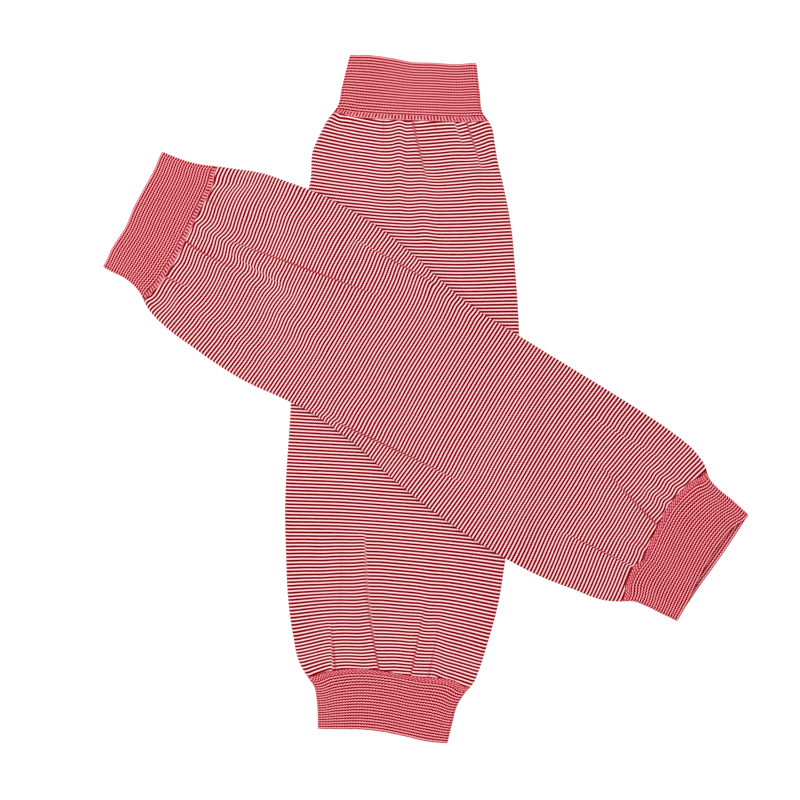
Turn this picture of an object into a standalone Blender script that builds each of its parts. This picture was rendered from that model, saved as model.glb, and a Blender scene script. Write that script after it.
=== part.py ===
"""A pair of knitted arm sleeves, laid flat and crossed: one sleeve lies on the ground, the other across it.

Each sleeve is one round of knitting with no side seam: a ribbed start cuff, a ladder band where the rib changes
to plain knit, a striped plain body, a dense band and a ribbed finish cuff. Laid flat, each piece is a flattened
tube whose front panel lies on its back panel. The front carries the folds, and the back rests flat.

Sizes are millimetres. A sleeve's own frame has `along` from its start cuff to its finish cuff and `across` to
the left of that direction. The origin is at the middle of the pair, on the ground.
"""

import math
from collections import namedtuple

import bmesh
import bpy
import numpy as np

MM = 0.001

# Cloth
BODY_WALL = 1.2
CUFF_WALL = 1.5
LADDER_WALL = 1.2
DENSE_WALL = 1.4
INNER_GAP = 0.6  # between the front and back panels
SEAM_GAP = 0.3  # between neighbouring pieces
SQUARE_FROM = 0.75  # share of the half width from which a seam turns square to the side edge
RIB_RISE = 0.35
RIBS_ACROSS = 47  # on the front panel of a cuff, half of those round the wrist

# Folds
STEEP_SIDE = 0.35  # width of a fold's steep side, as a share of its own width
HOLLOW_SHARE = 0.5  # share of a fold's height that the inside of the front panel follows
FLAT_EDGE = 0.90  # share of the half width beyond which folds die away
HELD_SHARE = 0.6  # how much of a fold's height the seam at its end holds down
HELD_REACH = 7.0

# The upper sleeve over the lower one
LAP_CLEARANCE = 0.4
LAP_MARGIN = 6.0  # the upper sleeve stays level this far past the lower one's edge
LAP_FALL = 15.0  # and then comes down to the ground over this distance
PRESSED_MARGIN = 3.0  # the lower sleeve's folds are pressed flat this far out from the upper one
PRESSED_FADE = 14.0

# Points round a section: the counts leave the section's two edges on the inner wall's points too
PLAIN_FRONT = 37
RIBBED_FRONT = 2 * RIBS_ACROSS - 1
FLAT_BACK = 5
LAPPED_BACK = 15
PLAIN_STEP = 2  # outer points for each inner point
RIBBED_STEP = 4
PAIRED_FROM = 0.85  # share of the half width from which each outer point of the front has an inner one

# Rings along a piece, and along a body close together at the gathered ends
CUFF_RINGS = 4
GATHER_SHARE = 0.16  # of the body's length, at each end
GATHER_RINGS = 6
MIDDLE_RINGS = 16

Sleeve = namedtuple("Sleeve", "name start heading outline edges folds rests_on")
Station = namedtuple("Station", "along left right")
Edge = namedtuple("Edge", "share cuff_start ladder_start body_start body_end dense_end cuff_end back_end")
Fold = namedtuple("Fold", "along across to_along to_across bow width height lean grip")
Finish = namedtuple("Finish", "colour roughness")

STRIPED = Finish((0.610, 0.191, 0.222), 0.90)
RIBBED = Finish((0.620, 0.120, 0.150), 0.92)
LADDERED = Finish((0.680, 0.180, 0.210), 0.90)
DENSE = Finish((0.560, 0.100, 0.130), 0.92)

# Half outlines: where the left (across < 0) and right edges of a flat sleeve lie
UNDER_OUTLINE = [
    Station(-2.0, -40.0, 40.0),
    Station(19.0, -44.3, 43.3),
    Station(31.6, -46.8, 45.8),
    Station(37.9, -51.2, 50.6),
    Station(50.6, -57.5, 54.1),
    Station(60.1, -61.0, 56.0),
    Station(75.9, -61.4, 60.4),
    Station(101.2, -65.4, 66.4),
    Station(132.8, -67.3, 70.7),
    Station(170.7, -68.3, 74.6),
    Station(221.3, -68.1, 76.0),
    Station(290.9, -68.7, 73.9),
    Station(316.2, -67.0, 71.6),
    Station(341.5, -64.8, 68.6),
    Station(366.8, -60.4, 62.9),
    Station(385.8, -54.7, 57.6),
    Station(392.1, -50.6, 55.2),
    Station(398.4, -45.8, 50.3),
    Station(406.0, -43.9, 45.8),
    Station(417.4, -42.6, 43.0),
    Station(432.0, -42.2, 40.0),
]
OVER_OUTLINE = [
    Station(-4.5, -40.6, 41.0),
    Station(6.3, -40.8, 42.7),
    Station(19.0, -39.9, 46.2),
    Station(31.6, -43.3, 51.9),
    Station(37.9, -47.4, 54.7),
    Station(56.9, -52.8, 62.6),
    Station(75.9, -54.4, 66.7),
    Station(98.0, -55.7, 70.5),
    Station(118.9, -55.3, 71.8),
    Station(139.8, -52.5, 71.7),
    Station(161.9, -50.4, 68.9),
    Station(183.4, -51.5, 64.8),
    Station(204.3, -54.0, 61.3),
    Station(222.6, -58.0, 59.8),
    Station(244.7, -61.3, 59.8),
    Station(316.2, -64.5, 60.1),
    Station(341.5, -62.6, 59.8),
    Station(360.5, -59.1, 59.1),
    Station(385.8, -53.1, 54.8),
    Station(392.1, -49.6, 51.9),
    Station(398.4, -45.5, 46.6),
    Station(406.0, -43.9, 44.0),
    Station(417.4, -42.7, 42.4),
    Station(432.5, -41.2, 39.6),
]

# Where the pieces of a sleeve begin and end, at shares of the half width from the left edge to the right one.
# cuff_end is the front panel's free edge and back_end the back panel's, which shows past it on the upper sleeve.
UNDER_EDGES = [
    Edge(-1.00, -1.5, 32.9, 35.4, 392.1, 395.6, 425.0, 425.0),
    Edge(-0.70, -1.8, 34.0, 37.6, 387.3, 391.1, 424.7, 424.7),
    Edge(-0.35, -0.6, 34.5, 38.2, 384.8, 388.6, 424.3, 424.3),
    Edge(0.00, 1.3, 34.5, 38.2, 386.4, 389.6, 425.3, 425.3),
    Edge(0.35, 1.2, 34.5, 38.0, 389.6, 392.6, 427.5, 427.5),
    Edge(0.70, 1.5, 34.3, 37.8, 390.2, 394.0, 430.0, 430.0),
    Edge(1.00, 0.4, 33.5, 36.7, 394.6, 398.1, 430.7, 430.7),
]
OVER_EDGES = [
    Edge(-1.00, 2.0, 33.5, 35.7, 392.1, 395.5, 428.7, 428.7),
    Edge(-0.70, 0.8, 35.2, 38.6, 388.3, 391.5, 428.3, 428.9),
    Edge(-0.35, 1.1, 35.2, 38.8, 388.3, 391.5, 426.7, 429.6),
    Edge(0.00, -0.9, 34.0, 37.4, 387.0, 390.2, 425.8, 430.6),
    Edge(0.35, -1.8, 32.5, 35.6, 386.1, 389.3, 425.9, 431.4),
    Edge(0.70, -2.5, 31.0, 34.7, 389.6, 392.8, 427.9, 431.9),
    Edge(1.00, -4.0, 28.1, 30.7, 394.6, 397.9, 432.0, 432.0),
]

# Folds of the front panel. lean is the side of the steep face: 1 right, -1 left, 0 for a soft wave.
# grip is the end that a cuff holds at full height: -1 the first end, 1 the last end, 0 neither.
UNDER_FOLDS = [
    Fold(38.0, 1.3, 80.0, 12.0, 0.0, 5.0, 2.2, 1, -1),
    Fold(38.0, -6.3, 100.0, 3.0, -3.0, 5.5, 1.1, 0, -1),
    Fold(38.0, 34.8, 67.0, 45.5, 0.0, 4.5, 1.9, 1, -1),
    Fold(38.0, 14.0, 50.0, 20.0, 0.0, 3.2, 1.1, 1, -1),
    Fold(38.0, 25.0, 54.0, 31.0, 0.0, 4.0, 0.8, 0, -1),
    Fold(38.0, -17.0, 64.0, -16.5, 0.0, 4.0, 0.6, 0, -1),
    Fold(36.0, -43.0, 52.0, -24.0, 2.0, 4.0, 1.2, -1, -1),
    Fold(38.0, -33.0, 52.0, -34.0, 0.0, 3.5, 0.6, 0, -1),
    Fold(312.0, -17.7, 387.0, -5.1, -2.2, 5.0, 2.3, 1, 1),
    Fold(366.0, -11.5, 387.0, -10.5, 0.0, 3.0, 0.8, -1, 1),
    Fold(358.0, -36.3, 387.0, -32.3, 0.0, 4.2, 1.9, 1, 1),
    Fold(342.0, 22.5, 390.0, 15.0, 0.0, 4.6, 2.2, -1, 1),
    Fold(354.0, 32.0, 390.0, 25.6, 0.0, 4.0, 1.8, -1, 1),
    Fold(366.0, 41.0, 391.0, 37.0, 0.0, 3.8, 0.8, 0, 1),
    Fold(366.0, -47.0, 389.0, -42.5, 0.0, 4.0, 0.8, 0, 1),
    Fold(303.0, -31.6, 356.0, -31.6, 0.0, 6.0, 0.5, 0, 0),
    Fold(336.0, 28.0, 366.0, 27.0, 0.0, 5.0, 0.5, 0, 0),
]
OVER_FOLDS = [
    Fold(38.0, -26.0, 53.0, -24.0, 0.0, 3.8, 1.8, 1, -1),
    Fold(37.0, 0.6, 80.0, 3.2, 0.0, 4.8, 2.2, 1, -1),
    Fold(36.0, 12.0, 98.0, 12.8, 0.0, 5.5, 1.5, 0, -1),
    Fold(58.0, 14.4, 164.0, 35.6, 0.0, 5.0, 1.9, 1, 0),
    Fold(34.0, 29.5, 50.0, 31.0, 0.0, 3.8, 1.5, 1, -1),
    Fold(33.0, 40.0, 60.0, 44.0, 0.0, 4.5, 0.7, 0, -1),
    Fold(38.0, -33.0, 55.0, -31.5, 0.0, 4.0, 0.8, 0, -1),
    Fold(88.0, -31.6, 128.0, -31.6, 0.0, 8.0, -0.5, 0, 0),
    Fold(78.0, 8.5, 110.0, 11.0, 0.0, 6.0, 0.7, 0, 0),
    Fold(138.0, 57.2, 190.0, 60.0, 0.0, 4.0, 1.1, 1, 0),
    Fold(158.0, -48.0, 262.0, -38.0, 1.5, 5.0, 1.8, -1, 0),
    Fold(340.0, -30.4, 390.0, -23.0, -2.0, 4.6, 1.9, 1, 1),
    Fold(340.0, 16.2, 388.0, 3.2, 0.0, 4.8, 2.2, -1, 1),
    Fold(362.0, 32.0, 388.0, 30.2, 0.0, 3.8, 1.2, -1, 1),
    Fold(370.0, -13.0, 388.0, -11.3, 0.0, 3.4, 1.1, 1, 1),
    Fold(370.0, 13.4, 387.0, 12.4, 0.0, 3.4, 0.7, 0, 1),
    Fold(368.0, 44.0, 390.0, 40.0, 0.0, 4.0, 0.7, 0, 1),
    Fold(324.0, 39.2, 358.0, 39.2, 0.0, 6.0, 0.5, 0, 0),
]

# The back panel's own line at each free end
FREE_BACK = {"cuff_start": "cuff_start", "cuff_end": "back_end"}

UNDER = Sleeve("under", (-8.1, 214.4), -92.44, UNDER_OUTLINE, UNDER_EDGES, UNDER_FOLDS, None)
OVER = Sleeve("over", (-184.5, 119.5), -31.60, OVER_OUTLINE, OVER_EDGES, OVER_FOLDS, UNDER)


def column(rows, name):
    """One named column of a table, as an array."""
    return np.array([getattr(row, name) for row in rows])


def through(x, xs, ys):
    """A cubic curve through a table's rows, whose slope at a row comes from the rows beside it."""
    slopes = np.gradient(ys, xs)
    i = np.clip(np.searchsorted(xs, x) - 1, 0, len(xs) - 2)
    gap = xs[i + 1] - xs[i]
    f = np.clip((x - xs[i]) / gap, 0.0, 1.0)
    ends = ys[i] * (1 + 2 * f) * (1 - f) ** 2 + ys[i + 1] * f**2 * (3 - 2 * f)
    return ends + gap * f * (1 - f) * (slopes[i] * (1 - f) - slopes[i + 1] * f)


def ease(x):
    """0 below 0, 1 above 1, and an S between."""
    x = np.clip(x, 0.0, 1.0)
    return x * x * (3 - 2 * x)


def middle_and_half(sleeve, along):
    """Where the middle of a sleeve lies across, and half its width, at `along`."""
    stations = column(sleeve.outline, "along")
    left = through(along, stations, column(sleeve.outline, "left"))
    right = through(along, stations, column(sleeve.outline, "right"))
    return (left + right) / 2, (right - left) / 2


def directions(sleeve):
    """A sleeve's unit vectors along and across, on the ground."""
    turn = math.radians(sleeve.heading)
    return np.array([math.cos(turn), math.sin(turn)]), np.array([-math.sin(turn), math.cos(turn)])


def to_ground(sleeve, along, across):
    """The place on the ground of a point of a sleeve's own frame."""
    d, n = directions(sleeve)
    return sleeve.start[0] + d[0] * along + n[0] * across, sleeve.start[1] + d[1] * along + n[1] * across


def from_ground(sleeve, x, y):
    """The point of a sleeve's own frame at a place on the ground."""
    d, n = directions(sleeve)
    x, y = x - sleeve.start[0], y - sleeve.start[1]
    return d[0] * x + d[1] * y, n[0] * x + n[1] * y


def past_edge(sleeve, x, y):
    """How far a place on the ground lies outside a sleeve's side edges: negative inside."""
    along, across = from_ground(sleeve, x, y)
    middle, half = middle_and_half(sleeve, along)
    return np.abs(across - middle) - half


def lift(sleeve, x, y):
    """How high the back panel of a sleeve lies at a place, where it crosses the one that it rests on."""
    if sleeve.rests_on is None:
        return np.zeros_like(x)
    level = 2 * BODY_WALL + INNER_GAP + LAP_CLEARANCE
    return level * (1 - ease((past_edge(sleeve.rests_on, x, y) - LAP_MARGIN) / LAP_FALL))


def fold_rise(fold, along, across):
    """The height of one fold of the front panel."""
    run = (along - fold.along) / (fold.to_along - fold.along)
    path = fold.across + run * (fold.to_across - fold.across) + 4 * fold.bow * run * (1 - run)
    off = across - path
    steep = off * fold.lean > 0
    reach = np.where(steep, fold.width * STEEP_SIDE, fold.width)
    inside = np.clip(run, 0.0, 1.0)
    if fold.grip == 0:
        swell = np.sin(math.pi * inside)
    else:
        swell = np.cos(math.pi / 2 * (inside if fold.grip < 0 else 1 - inside))
    return fold.height * swell * np.exp(-((off / reach) ** 2))


def relief(sleeve, along, across, x, y):
    """The height of all the folds of the front panel, pressed flat under the other sleeve."""
    rise = sum(fold_rise(fold, along, across) for fold in sleeve.folds)
    if sleeve.rests_on is None:
        rise = rise * ease((past_edge(OVER, x, y) - PRESSED_MARGIN) / PRESSED_FADE)
    return rise


def section(front, back):
    """The points round a flat tube: (share across, edge offset, height) with the left edge first.

    The front panel has `front` points and the back panel `back`; three points round off each edge.
    """
    slant = math.sqrt(0.5)
    over = [(share, 0.0, 1.0) for share in np.linspace(-1, 1, front)]
    below = [(share, 0.0, -1.0) for share in np.linspace(1, -1, back)]
    left = [(-1.0, -slant, -slant), (-1.0, -1.0, 0.0), (-1.0, -slant, slant)]
    right = [(1.0, slant, slant), (1.0, 1.0, 0.0), (1.0, slant, -slant)]
    return np.array(left[1:] + over + right + below + left[:1])


def end_line(sleeve, name, section_points):
    """Where an end of a piece lies along the sleeve, at each point round it.

    The front panel follows the table, and runs square to the side edges. The back one is straight at a seam and
    follows the table at a free edge.
    """
    share, _, height = section_points.T
    turn = np.clip((np.abs(share) - SQUARE_FROM) / (1 - SQUARE_FROM), 0, 1)
    square = share + np.sign(share) * (1 - SQUARE_FROM) * turn**2 * (1 - turn)
    shares = column(sleeve.edges, "share")
    front = column(sleeve.edges, name)
    if name in FREE_BACK:
        back = through(square, shares, column(sleeve.edges, FREE_BACK[name]))
    else:
        back = np.interp(share, [-1, 1], front[[0, -1]])
    return np.where(height > 0, through(square, shares, front), back)


def wall_ring(sleeve, along, points, inset, half_height, thickness, ribs, folds):
    """One ring of points round an outer or inner wall.

    inset is the wall's distance inside the outline, half_height the half of its own height, thickness the whole
    flat height of the piece, ribs the height of the ribs, and folds the share of the folds that it follows.
    """
    share, edge, height = points.T
    middle, half = middle_and_half(sleeve, along)
    across = middle + share * (half - inset - half_height) + edge * half_height
    x, y = to_ground(sleeve, along, across)
    front = np.clip(height, 0.0, 1.0)
    die_away = 1 - ease((np.abs(share) - FLAT_EDGE) / (1 - FLAT_EDGE))
    z = lift(sleeve, x, y) + thickness / 2 + half_height * height
    z = z + relief(sleeve, along, across, x, y) * front * die_away * folds
    rib_tops = np.arange(len(points)) % 2 == 0
    z = z + ribs * rib_tops * (height == 1.0)
    return np.stack([x, y, z], 1) * MM


def body_shares():
    """The rings of a body as shares of its length, close together at the gathered ends."""
    gathered = np.linspace(0, GATHER_SHARE, GATHER_RINGS, endpoint=False)
    middle = np.linspace(GATHER_SHARE, 1 - GATHER_SHARE, MIDDLE_RINGS + 1)
    return np.concatenate([gathered, middle, 1 - gathered[::-1]])


def inner_partners(section_points, step):
    """Which points round a section have a partner on the inner wall."""
    paired = (section_points[:, 2] > 0) & (np.abs(section_points[:, 0]) > PAIRED_FROM)
    return [i for i in range(len(section_points)) if paired[i] or i % step == 0]


def skin(mesh, rings, flip):
    """Closes neighbouring rings of vertices with faces, all the way round."""
    count = len(rings[0])
    for near, far in zip(rings, rings[1:]):
        for i in range(count):
            j = (i + 1) % count
            corners = [near[i], near[j], far[j], far[i]]
            mesh.faces.new(corners[::-1] if flip else corners)


def close_end(mesh, outer, inner, partners, flip):
    """Closes the end of a wall between its outer ring and its inner one, which has fewer points."""
    count = len(outer)
    for i, corner in enumerate(inner):
        follower = (i + 1) % len(inner)
        last = partners[follower] or count
        for j in range(partners[i], last):
            a, b = outer[j], outer[(j + 1) % count]
            mesh.faces.new([corner, b, a] if flip else [corner, a, b])
        across = [corner, outer[last % count], inner[follower]]
        mesh.faces.new(across[::-1] if flip else across)


def make_tube(name, sleeve, lines, shares, counts, step, wall, finish, ribs=0.0, folds=0.0):
    """One piece of a sleeve: a flattened tube with a wall, open at both ends.

    lines names its first and last edges, and folds is the share of the sleeve's folds that it has.
    """
    outer_points = section(*counts)
    partners = inner_partners(outer_points, step)
    inner_points = outer_points[partners]
    thickness = 2 * wall + INNER_GAP
    walls = [
        (outer_points, 0.0, thickness / 2, ribs, folds),
        (inner_points, wall, INNER_GAP / 2, 0.0, folds * HOLLOW_SHARE),
    ]
    mesh = bmesh.new()
    made = []
    for points, inset, half_height, rib_rise, fold_share in walls:
        start = end_line(sleeve, lines[0], points) + SEAM_GAP / 2
        end = end_line(sleeve, lines[1], points) - SEAM_GAP / 2
        rings = []
        for share in shares:
            along = start + share * (end - start)
            held = 1 - HELD_SHARE * (1 - ease(np.minimum(along - start, end - along) / HELD_REACH))
            heights = half_height, thickness, rib_rise, fold_share * held
            ring = wall_ring(sleeve, along, points, inset, *heights)
            rings.append([mesh.verts.new(place) for place in ring])
        made.append(rings)
    outer, inner = made
    skin(mesh, outer, flip=False)
    skin(mesh, inner, flip=True)
    close_end(mesh, outer[0], inner[0], partners, flip=False)
    close_end(mesh, outer[-1], inner[-1], partners, flip=True)
    bmesh.ops.recalc_face_normals(mesh, faces=mesh.faces)
    data = bpy.data.meshes.new(name)
    mesh.to_mesh(data)
    mesh.free()
    data.shade_smooth()
    data.set_sharp_from_angle(angle=math.radians(50))
    data.materials.append(make_material(name, finish))
    piece = bpy.data.objects.new(name, data)
    bpy.context.scene.collection.objects.link(piece)
    return piece


def make_material(name, finish):
    """A cloth material of one colour."""
    material = bpy.data.materials.new(name + "_cloth")
    material.use_nodes = True
    shader = material.node_tree.nodes["Principled BSDF"]
    shader.inputs["Base Color"].default_value = (*finish.colour, 1.0)
    shader.inputs["Roughness"].default_value = finish.roughness
    shader.inputs["Metallic"].default_value = 0.0
    return material


def make_sleeve(sleeve):
    """The five pieces of one sleeve."""
    back = FLAT_BACK if sleeve.rests_on is None else LAPPED_BACK
    band = np.array([0.0, 1.0])
    ribbed = dict(counts=(RIBBED_FRONT, FLAT_BACK), step=RIBBED_STEP, ribs=RIB_RISE)
    plain = dict(step=PLAIN_STEP)
    cuff = dict(shares=np.linspace(0, 1, CUFF_RINGS), wall=CUFF_WALL, finish=RIBBED)
    make_tube(sleeve.name + "_start_cuff", sleeve, ("cuff_start", "ladder_start"), **cuff, **ribbed)
    make_tube(
        sleeve.name + "_ladder_band", sleeve, ("ladder_start", "body_start"),
        shares=band, wall=LADDER_WALL, finish=LADDERED, **ribbed,
    )
    make_tube(
        sleeve.name + "_body", sleeve, ("body_start", "body_end"),
        shares=body_shares(), counts=(PLAIN_FRONT, back), wall=BODY_WALL, finish=STRIPED, folds=1.0, **plain,
    )
    make_tube(
        sleeve.name + "_dense_band", sleeve, ("body_end", "dense_end"),
        shares=band, counts=(PLAIN_FRONT, FLAT_BACK), wall=DENSE_WALL, finish=DENSE, **plain,
    )
    make_tube(sleeve.name + "_finish_cuff", sleeve, ("dense_end", "cuff_end"), **cuff, **ribbed)


for old in list(bpy.data.objects):
    bpy.data.objects.remove(old)
for arm_sleeve in (UNDER, OVER):
    make_sleeve(arm_sleeve)
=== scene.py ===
"""A pair of knitted arm sleeves, laid flat and crossed: the lower one on the floor, the upper one across it.

Each sleeve is knitted in the round, with no side seam. From its start it has a ribbed cuff, a ladder band
where the rib changes to plain knit, a body of plain knit in fine red and white stripes, a dense band and a
ribbed cuff. Laid flat, each of these is a flattened tube: its front panel lies on its back panel, carries the
folds, and is stepped up where the upper sleeve crosses the lower one.

Sizes are millimetres until a mesh is made. A sleeve's own frame has `along` from its start cuff to its finish
cuff and `across` from its left edge to its right one, as seen from above with the start cuff at the top.
"""

from __future__ import annotations

import logging
import math
from dataclasses import dataclass
from enum import Enum

import bmesh
import bpy
import numpy as np
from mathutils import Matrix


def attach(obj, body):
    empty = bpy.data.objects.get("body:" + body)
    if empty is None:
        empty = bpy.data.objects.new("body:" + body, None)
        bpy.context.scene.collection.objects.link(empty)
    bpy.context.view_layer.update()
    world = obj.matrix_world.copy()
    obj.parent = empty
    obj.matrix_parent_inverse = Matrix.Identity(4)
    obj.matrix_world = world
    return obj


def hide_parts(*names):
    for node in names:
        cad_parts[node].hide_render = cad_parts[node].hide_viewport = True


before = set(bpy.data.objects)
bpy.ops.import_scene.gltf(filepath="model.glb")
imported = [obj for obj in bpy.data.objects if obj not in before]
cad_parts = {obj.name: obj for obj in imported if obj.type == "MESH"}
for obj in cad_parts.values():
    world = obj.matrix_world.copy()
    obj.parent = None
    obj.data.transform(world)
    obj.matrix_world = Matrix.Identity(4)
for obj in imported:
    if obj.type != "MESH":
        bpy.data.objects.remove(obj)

Socket = bpy.types.NodeSocket
LOG = logging.getLogger("arm_sleeves")
MM = 0.001

# Cloth
BODY_WALL = 1.2
CUFF_WALL = 1.5
LADDER_WALL = 1.2
DENSE_WALL = 1.4
INNER_GAP = 0.6  # between the front and back panels
SEAM_GAP = 0.06  # between neighbouring pieces
SQUARE_FROM = 0.75  # share of the half width from which a seam turns square to the side edge

# Knitting
STRIPE = 2.131  # one red and one white course of the body
FIRST_WHITE = 0.21  # share of a stripe from the start of a sleeve to the middle of its first white course
CUFF_COURSES = 20
BODY_WALES = 96  # on the front panel
RIBS = 47  # on the front panel of a cuff, about half of those round the wrist
EDGE_RIBS = 1  # in the roll of a side edge
EDGE_WALES = 2
RIB_RISE = 0.35

# Yarn
UNEVENNESS = 0.9  # scale of the stitches' unevenness, per wale and course
DYE_PATCHES = 55.0  # scale of the patches of the dye, per metre
FIBRE_FLECKS = 900.0  # scale of the flecks of the fibre, per metre
FURROW_POWER = 3.0  # narrows the furrow between wales

# Folds
STEEP_SIDE = 0.35  # width of a fold's steep side, as a share of its own width
FLAT_EDGE = 0.90  # share of the half width beyond which folds die away
HELD_REACH = 7.0  # how far a seam holds down the folds that end at it
HELD = 0.4  # share of a fold's height that is left at such a seam
CREASE_LINE = 0.42  # half width of the thin red line at a crease, where the pale yarn is hidden and shade is painted
FULL_CREASE = 0.9  # a fold 1 mm high has a crease of this strength
CREASE_HIDES = 0.95  # share of the pale yarn that a full crease hides
CREASE_SHADE = 0.7  # how far the red of a full crease is darkened towards the painted shade tone
END_RING = 0.35  # width of the ring of red stitches, darkened by painted shade, at each end of a piece
JUMP = 0.3  # half width over which the courses jump from one side of a ripple's line to the other

# The upper sleeve over the lower one
LAP_CLEARANCE = 0.4
LAP_MARGIN = 6.0  # the upper sleeve stays level this far past the lower one's edge
LAP_FALL = 15.0  # and then comes down to the floor over this distance
PRESSED_MARGIN = 3.0  # the lower sleeve's folds are pressed flat this far out from the upper one
PRESSED_FADE = 14.0

KNIT_MAP = "knit"  # a piece's UV map: wales or ribs round it, and courses along it
CREASE_TUCK_AND_SHADE = "crease"  # a piece's attribute: 1 where a crease or an end tucks the pale courses in and paints shade on the red
NODE_SLEEVES = {"lower": "under", "upper": "over"}  # what the record calls the two sleeves
WIDTHS_TAKEN = 9  # along a sheet, to work out how far it goes round
WHITE = (1.0, 1.0, 1.0, 1.0)


class Grip(Enum):
    """The end of a fold or a ripple that a cuff holds at its full strength."""

    FIRST = -1
    NEITHER = 0
    LAST = 1


class Steep(Enum):
    """The side of a fold that stands steep."""

    LEFT = -1
    NEITHER = 0
    RIGHT = 1


class Line(Enum):
    """The lines across a sleeve at which its pieces begin and end."""

    CUFF_START = "cuff_start"
    LADDER_START = "ladder_start"
    BODY_START = "body_start"
    BODY_END = "body_end"
    DENSE_END = "dense_end"
    CUFF_END = "cuff_end"


class Slot(Enum):
    """The record's names for the four kinds of cloth."""

    STRIPED = "striped_knit"
    RIBBED = "ribbed_cuff"
    LADDER = "ladder_band"
    DENSE = "dense_band"


@dataclass(frozen=True)
class Station:
    """Where the side edges of a flat sleeve lie across, at a distance along it."""

    along: float
    left: float
    right: float


@dataclass(frozen=True)
class Seam:
    """Where each line lies along a sleeve, at a share of the half width from -1, left, to 1, right.

    back_end is the back panel's free edge, which shows past the front's on the upper sleeve.
    """

    share: float
    cuff_start: float
    ladder_start: float
    body_start: float
    body_end: float
    dense_end: float
    cuff_end: float
    back_end: float


@dataclass(frozen=True)
class Courses:
    """How far the courses run ahead of an even count at a distance along, at five places across."""

    along: float
    left_edge: float
    left: float
    middle: float
    right: float
    right_edge: float


@dataclass(frozen=True)
class Track:
    """A line on the front panel, from one point of the sleeve's frame to another.

    bow is how far its middle swings to the right, and grip the end that a cuff holds.
    """

    along: float
    across: float
    to_along: float
    to_across: float
    bow: float
    grip: Grip

    def offset(self, along: np.ndarray, across: np.ndarray) -> tuple[np.ndarray, np.ndarray]:
        """Measures from the line.

        Args:
            along: distance along the sleeve of each point.
            across: distance across it of each point.

        Returns:
            How far each point lies to the right of the line, and how strong the line is there, from 0 to 1.
        """
        run = (along - self.along) / (self.to_along - self.along)
        path = self.across + run * (self.to_across - self.across) + 4 * self.bow * run * (1 - run)
        inside = np.clip(run, 0.0, 1.0)
        if self.grip is Grip.NEITHER:
            strength = np.sin(math.pi * inside)
        else:
            strength = np.cos(math.pi / 2 * (inside if self.grip is Grip.FIRST else 1 - inside))
        return across - path, np.sqrt(np.clip(strength, 0.0, 1.0))


@dataclass(frozen=True)
class Fold(Track):
    """A raised fold, with a thin crease along its line if one of its sides is steep."""

    width: float
    height: float
    steep: Steep = Steep.NEITHER

    def rise(self, along: np.ndarray, across: np.ndarray) -> np.ndarray:
        """Raises the cloth.

        Args:
            along: distance along the sleeve of each point.
            across: distance across it of each point.

        Returns:
            The fold's height at each point.
        """
        off, strength = self.offset(along, across)
        top = off + self.steep.value * self.width * STEEP_SIDE
        reach = np.where(top * self.steep.value > 0, self.width * STEEP_SIDE, self.width)
        return self.height * strength * np.exp(-((top / reach) ** 2))

    def tuck_and_shade(self, along: np.ndarray, across: np.ndarray) -> np.ndarray:
        """Tucks the pale courses in along the crease, and paints shade there.

        Args:
            along: distance along the sleeve of each point.
            across: distance across it of each point.

        Returns:
            How much of them the crease hides, and how strong the painted shade is, at each point, from 0 to
            1.
        """
        off, strength = self.offset(along, across)
        full = min(1.0, FULL_CREASE * self.height) * abs(self.steep.value)
        return full * strength**2 * np.exp(-((off / CREASE_LINE) ** 2))


@dataclass(frozen=True)
class Ripple(Track):
    """A ripple or a jump of the courses.

    left and right are how far they run ahead on each side of the line, and reach how far out that dies away.
    """

    left: float
    right: float
    reach: float

    def shift(self, along: np.ndarray, across: np.ndarray) -> np.ndarray:
        """Moves the courses.

        Args:
            along: distance along the sleeve of each point.
            across: distance across it of each point.

        Returns:
            How far the ripple moves them ahead at each point.
        """
        off, strength = self.offset(along, across)
        side = np.clip(0.5 + off / (2 * JUMP), 0.0, 1.0)
        ahead = self.left + (self.right - self.left) * side
        return ahead * strength * np.exp(-((off / self.reach) ** 2))


def through(x: np.ndarray, xs: np.ndarray, ys: np.ndarray) -> np.ndarray:
    """A cubic curve through a table's rows, whose slope at a row comes from the rows beside it.

    Args:
        x: where the curve is wanted.
        xs: the rows' places.
        ys: the rows' values, either one for each row or one for each row and each of x.

    Returns:
        The curve's value at each of x.
    """
    slopes = np.gradient(ys, xs, axis=0)
    i = np.clip(np.searchsorted(xs, x) - 1, 0, len(xs) - 2)
    near, far = (i, i + 1) if ys.ndim == 1 else ((i, np.arange(len(x))), (i + 1, np.arange(len(x))))
    gap = xs[i + 1] - xs[i]
    f = np.clip((x - xs[i]) / gap, 0.0, 1.0)
    ends = ys[near] * (1 + 2 * f) * (1 - f) ** 2 + ys[far] * f**2 * (3 - 2 * f)
    return ends + gap * f * (1 - f) * (slopes[near] * (1 - f) - slopes[far] * f)


def ease(x: np.ndarray) -> np.ndarray:
    """0 below 0, 1 above 1, and an S between."""
    x = np.clip(x, 0.0, 1.0)
    return x * x * (3 - 2 * x)


def column(rows: tuple, name: str) -> np.ndarray:
    """One named column of a table, as an array."""
    return np.array([getattr(row, name) for row in rows])


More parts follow.
